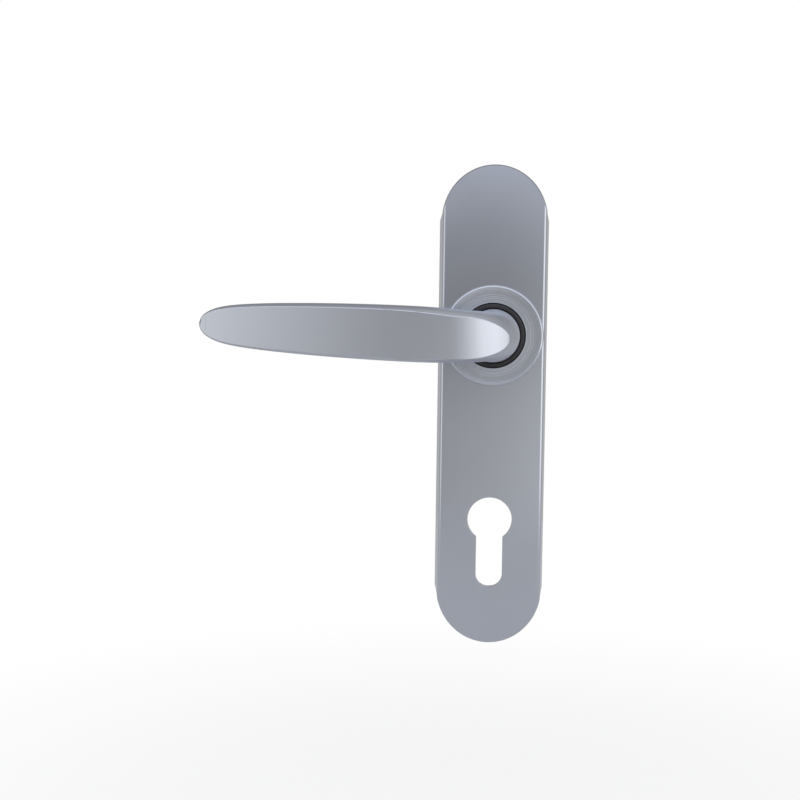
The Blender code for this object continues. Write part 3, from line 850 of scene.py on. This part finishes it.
def panel_light(name, place, aim, width, height, power, tone):
    """A soft area light turned to a point; the tent stands in for it in reflections."""
    data = bpy.data.lights.new(name, "AREA")
    data.shape = "RECTANGLE"
    data.size = width
    data.size_y = height
    data.energy = power
    data.color = tone
    lamp = bpy.data.objects.new(name, data)
    lamp.location = place
    lamp.rotation_euler = (Vector(aim) - Vector(place)).to_track_quat("-Z", "Y").to_euler()
    lamp.visible_glossy = False
    bpy.context.scene.collection.objects.link(lamp)
    return lamp


def grey(value):
    """A neutral colour for a ramp or a mix."""
    return (value, value * 1.005, value * 1.02)


def studio_world():
    """White seen straight on; a soft tent with a dim middle for light and reflections."""
    world = bpy.data.worlds.new("studio")
    bpy.context.scene.world = world
    world.use_nodes = True
    for node in list(world.node_tree.nodes):
        world.node_tree.nodes.remove(node)
    nodes = Nodes(world.node_tree)
    way = nodes.add("ShaderNodeTexCoord", output=0)
    across, ahead, rise = [nodes.add("ShaderNodeSeparateXYZ", None, {"Vector": way}, output=i)
                           for i in range(3)]
    walls = nodes.add("ShaderNodeValToRGB", {"stops": [
        (place, grey(tone)) for place, tone in (
            (0.0, 0.40), (0.12, 0.74), (0.27, 0.72), (0.36, 0.46), (0.44, 0.41), (0.50, 0.46),
            (0.535, 0.52), (0.60, 0.66), (0.70, 0.90), (0.87, 0.98), (1.0, 0.80))]},
        {"Fac": across * 0.5 + 0.5})
    tent = nodes.add("ShaderNodeValToRGB", {"stops": [
        (place, grey(tone)) for place, tone in (
            (0.0, 0.42), (0.40, 0.36), (0.55, 0.33), (0.75, 0.36), (1.0, 0.40))]},
        {"Fac": rise * 0.5 + 0.5})
    front = nodes.span(ahead, -0.05, -0.45) * nodes.span(rise, 0.55, 0.15)
    soft = nodes.mix(front, tent, walls)
    over = nodes.span(ahead, -0.2, -0.5) * nodes.span(rise, 0.25, 0.45)
    soft = nodes.mix(over, soft, (0.80, 0.83, 0.90, 1.0))
    sky = nodes.span(ahead, -0.7, -0.9) * nodes.span(rise, 0.02, 0.14)
    soft = nodes.mix(sky * 0.6, soft, (0.54, 0.58, 0.68, 1.0))
    back = nodes.span(ahead, 0.2, 0.6) * nodes.span(rise, 0.25, 0.55)
    soft = nodes.mix(back, soft, (0.22, 0.22, 0.235, 1.0))
    lens = ((across - 0.01) * 8.5) ** 2.0 + ((rise - 0.03) * 10.0) ** 2.0
    stand = ((across + 0.07) * 6.0) ** 2.0 + ((rise + 0.09) * 6.0) ** 2.0
    near = nodes.span(ahead, -0.6, -0.8)
    soft = nodes.mix(near * nodes.span(stand, 1.0, 0.0) * 0.45, soft, (0.14, 0.14, 0.14, 1.0))
    soft = nodes.mix(near * nodes.span(lens, 1.0, 0.0) * 0.85, soft, (0.10, 0.098, 0.095, 1.0))
    camera = nodes.add("ShaderNodeLightPath", output=0)
    light = nodes.add("ShaderNodeBackground", None, {"Color": soft, "Strength": 1.4})
    white = nodes.add("ShaderNodeBackground", None, {"Color": (1.0, 1.0, 1.0, 1.0),
                                                     "Strength": 1.0})
    both = nodes.add("ShaderNodeMixShader", None, {0: camera, 1: light, 2: white})
    output = nodes.tree.nodes.new("ShaderNodeOutputWorld")
    nodes.tree.links.new(both.socket, output.inputs["Surface"])


def floor_finish():
    """Pale floor that keeps a soft shadow."""
    material = bpy.data.materials.new("pale_floor")
    material.use_nodes = True
    nodes = Nodes(material.node_tree)
    for node in list(nodes.tree.nodes):
        nodes.tree.nodes.remove(node)
    place = nodes.add("ShaderNodeTexCoord", output=3)
    grain = nodes.add("ShaderNodeTexNoise", None, {"Vector": place, "Scale": 90.0,
                                                   "Detail": 3.0})
    pale = nodes.mix(grain, (0.60, 0.60, 0.61, 1.0), (0.63, 0.63, 0.64, 1.0))
    matt = nodes.add("ShaderNodeBsdfDiffuse", None, {"Color": pale})
    glow = nodes.add("ShaderNodeEmission", None, {"Color": (1.0, 1.0, 1.0, 1.0),
                                                  "Strength": 1.0})
    camera = nodes.add("ShaderNodeLightPath", output=0)
    away = nodes.add("ShaderNodeVectorMath", {"operation": "LENGTH"}, {0: place}, output=1)
    blank = nodes.span(away, 0.16, 0.40, 0.82, 1.0)
    both = nodes.add("ShaderNodeMixShader", None, {0: camera * blank, 1: matt, 2: glow})
    output = nodes.tree.nodes.new("ShaderNodeOutputMaterial")
    nodes.tree.links.new(both.socket, output.inputs["Surface"])
    return material


class HANDLE_OT_studio(bpy.types.Operator):
    """Pale floor, soft lights, white surround and the camera"""

    bl_idname = "handle.studio"
    bl_label = "Studio"

    def execute(self, context):
        scene = context.scene
        scene.view_settings.view_transform = "Standard"
        studio_world()
        deselect_all()
        bpy.ops.mesh.primitive_plane_add(size=1.5, location=(0.0, 0.0, -0.165))
        floor = context.object
        floor.name = "floor"
        bpy.ops.object.transform_apply(location=True)
        floor.data.materials.append(floor_finish())

        panel_light("key_above", (-0.1, -0.8, 1.0), (0.0, 0.0, 0.02), 1.4, 0.6, 2.6,
                    (0.97, 0.98, 1.0))
        panel_light("left_wall", (-1.1, -0.55, 0.1), (0.0, 0.0, 0.0), 0.8, 1.2, 2.6,
                    (1.0, 1.0, 1.0))
        panel_light("right_wall", (1.1, -0.55, 0.1), (0.0, 0.0, 0.0), 0.8, 1.2, 2.6,
                    (1.0, 1.0, 1.0))
        panel_light("back_fill", (0.3, 0.9, 1.0), (0.0, 0.0, 0.0), 0.9, 0.9, 3.0,
                    (1.0, 1.0, 1.0))

        data = bpy.data.cameras.new("camera")
        data.sensor_width = 36.0
        data.lens = 58.9
        data.clip_start = 0.01
        camera = bpy.data.objects.new("camera", data)
        camera.location = (-0.0088, -0.520, AXIS_Z + 0.0056)
        aim = Vector((-0.0363, 0.0, 0.0012)) - camera.location
        turn = aim.to_track_quat("-Z", "Y")
        camera.rotation_euler = (turn @ Quaternion((0.0, 0.0, 1.0),
                                                   math.radians(0.77))).to_euler()
        scene.collection.objects.link(camera)
        scene.camera = camera
        return {"FINISHED"}


# ---------------------------------------------------------------- panel and start


class HANDLE_PT_sidebar(bpy.types.Panel):
    """Lists the pieces and their settings"""

    bl_idname = "HANDLE_PT_sidebar"
    bl_label = "Door Handle"
    bl_space_type = "VIEW_3D"
    bl_region_type = "UI"
    bl_category = "Door Handle"

    def draw(self, context):
        layout = self.layout
        for group in ("handle_plate", "handle_lever", "handle_colours"):
            settings = getattr(context.scene, group)
            box = layout.box()
            for name in settings.__annotations__:
                box.prop(settings, name)
        for step in STEPS:
            layout.operator(f"handle.{step}")


STEPS = ("finishes", "face_plate", "guide_bush", "lever", "studio")
GROUPS = {"handle_plate": PlateSizes, "handle_lever": LeverSizes, "handle_colours": HandleColours}
CLASSES = (PlateSizes, LeverSizes, HandleColours, HANDLE_OT_face_plate, HANDLE_OT_guide_bush,
           HANDLE_OT_lever, HANDLE_OT_finishes, HANDLE_OT_studio, HANDLE_PT_sidebar)


def register():
    """Register the classes and hang the settings on the scene."""
    for cls in CLASSES:
        bpy.utils.register_class(cls)
    for name, group in GROUPS.items():
        setattr(bpy.types.Scene, name, bpy.props.PointerProperty(type=group))


def unregister():
    """Undo register."""
    for name in GROUPS:
        delattr(bpy.types.Scene, name)
    for cls in reversed(CLASSES):
        bpy.utils.unregister_class(cls)


def main():
    """Build every piece."""
    register()
    for step in STEPS:
        getattr(bpy.ops.handle, step)()


if __name__ == "__main__":
    main()
